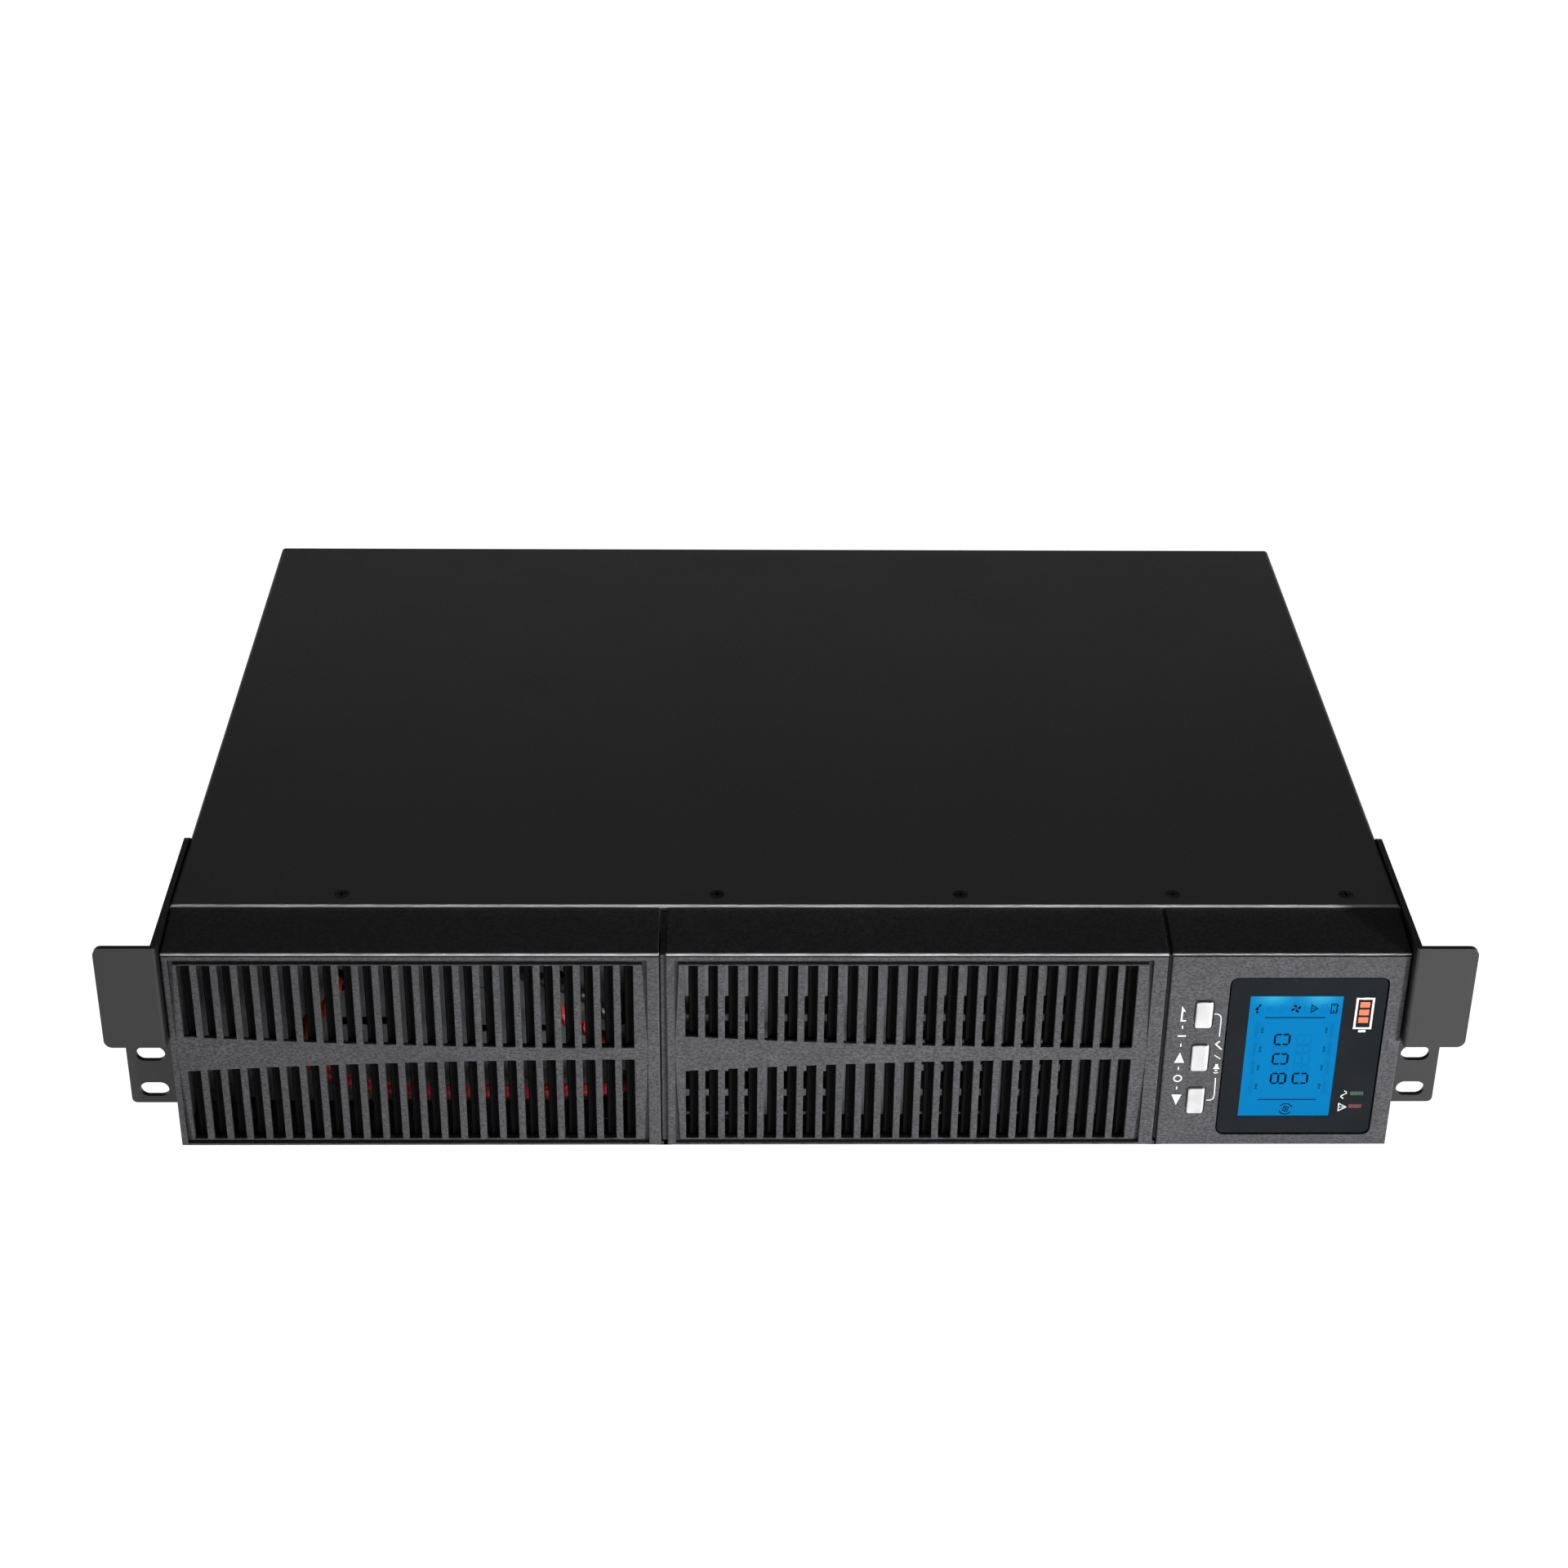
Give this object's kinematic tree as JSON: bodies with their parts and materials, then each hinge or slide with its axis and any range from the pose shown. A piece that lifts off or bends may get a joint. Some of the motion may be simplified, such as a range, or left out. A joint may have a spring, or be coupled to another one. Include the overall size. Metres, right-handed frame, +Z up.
{
  "type": "rackmount ups",
  "caption": "Two-unit rack uninterruptible power supply with bent ears, slotted grille bezel, blue display with keys, pull-out battery tray and a rear socket panel.",
  "frame": {"origin": "centre of the footprint, on the surface that the case stands on", "axes": "+X to the right seen from the front, across the rack; +Y from the bezel to the rear panel; +Z up"},
  "size_m": [0.4826, 0.326, 0.0884],
  "materials": {
    "cover_paint": "fine satin powder coat",
    "ear_paint": "satin powder coat",
    "zinc_steel": "zinc plated sheet",
    "black_screw": "black oxide",
    "bright_screw": "nickel plated",
    "bezel_plastic": "fine grained moulding",
    "black_plastic": "matt",
    "gloss_black": "polished",
    "lcd_blue": "lit liquid crystal",
    "white_plastic": "matt",
    "button_silver": "silver painted",
    "lens_green": "clear tinted",
    "lens_red": "clear tinted",
    "board_green": "solder mask",
    "component_black": "moulded",
    "ribbon_grey": "pvc",
    "battery_case": "abs",
    "terminal_metal": "tinned",
    "lead_red": "silicone",
    "lead_black": "silicone",
    "core_steel": "laminated",
    "coil_tape": "polyester tape",
    "aluminium_sink": "extruded",
    "can_sleeve": "shrink sleeve",
    "choke_core": "coated ferrite",
    "fan_plastic": "moulded",
    "guard_chrome": "plated wire",
    "socket_black": "moulded",
    "pin_brass": "nickel plated brass",
    "socket_green": "moulded",
    "shell_tin": "tinned"
  },
  "bodies": {
    "chassis": {"backlight_box": "white_plastic", "battery_socket": "socket_black", "bay_wall": "zinc_steel", "board_standoffs": "white_plastic", "bottom_pan": "zinc_steel", "breaker_body": "socket_black", "capacitors": "can_sleeve", "control_bezel": "bezel_plastic", "control_board": "board_green", "control_board_parts": "component_black", "cover_screws": "black_screw", "data_sockets": "socket_black", "display_frame": "gloss_black", "ear_screws": "black_screw", "epo_socket": "socket_green", "fan_frame": "fan_plastic", "fan_guard": "guard_chrome", "fan_screws": "bright_screw", "filter_choke": "choke_core", "front_plate": "zinc_steel", "heat_sinks": "aluminium_sink", "indicator_green": "lens_green", "indicator_red": "lens_red", "inlet_pins": "pin_brass", "lcd_panel": "lcd_blue", "main_board": "board_green", "mains_inlet": "socket_black", "middle_grille": "bezel_plastic", "middle_louvre": "black_plastic", "option_cover": "cover_paint", "option_screws": "bright_screw", "output_sockets": "socket_black", "rack_ear_left": "ear_paint", "rack_ear_right": "ear_paint", "rear_panel": "cover_paint", "rear_screws": "bright_screw", "ribbon_cable": "ribbon_grey", "serial_socket": "shell_tin", "switching_parts": "component_black", "top_cover": "cover_paint", "transformer_bracket": "zinc_steel", "transformer_coil": "coil_tape", "transformer_core": "core_steel", "tray_rails": "white_plastic"},
    "tray": {"battery_tray": "zinc_steel", "batteries": "battery_case", "battery_terminals": "terminal_metal", "lead_positive": "lead_red", "lead_link": "lead_red", "lead_negative": "lead_black", "lead_grommets": "black_plastic", "battery_plug": "socket_black", "tray_screws": "bright_screw"},
    "grille_door": {"left_grille": "bezel_plastic", "left_louvre": "black_plastic"},
    "key_return": {"button_return": "button_silver"},
    "key_on": {"button_on": "button_silver"},
    "key_off": {"button_off": "button_silver"},
    "breaker_key": {"breaker_button": "socket_black"},
    "rotor": {"fan_rotor": "fan_plastic"}
  },
  "joints": [
    {"name": "tray_slide", "type": "slide", "parent": "chassis", "child": "tray", "axis": [0, -1, 0], "range_m": [0, 0.21]},
    {"name": "grille_pull", "type": "slide", "parent": "tray", "child": "grille_door", "axis": [0, -1, 0], "range_m": [0, 0.03]},
    {"name": "key_return_press", "type": "slide", "parent": "chassis", "child": "key_return", "axis": [0, 1, 0], "range_m": [0, 0.001], "stiffness_N_per_m": 700},
    {"name": "key_on_press", "type": "slide", "parent": "chassis", "child": "key_on", "axis": [0, 1, 0], "range_m": [0, 0.001], "stiffness_N_per_m": 700},
    {"name": "key_off_press", "type": "slide", "parent": "chassis", "child": "key_off", "axis": [0, 1, 0], "range_m": [0, 0.001], "stiffness_N_per_m": 700},
    {"name": "breaker_pop", "type": "slide", "parent": "chassis", "child": "breaker_key", "axis": [0, 1, 0], "range_m": [0, 0.0035]},
    {"name": "fan_spin", "type": "hinge", "parent": "chassis", "child": "rotor", "pos_m": [0.168, 0.147, 0.0445], "axis": [0, 1, 0], "continuous": true}
  ]
}
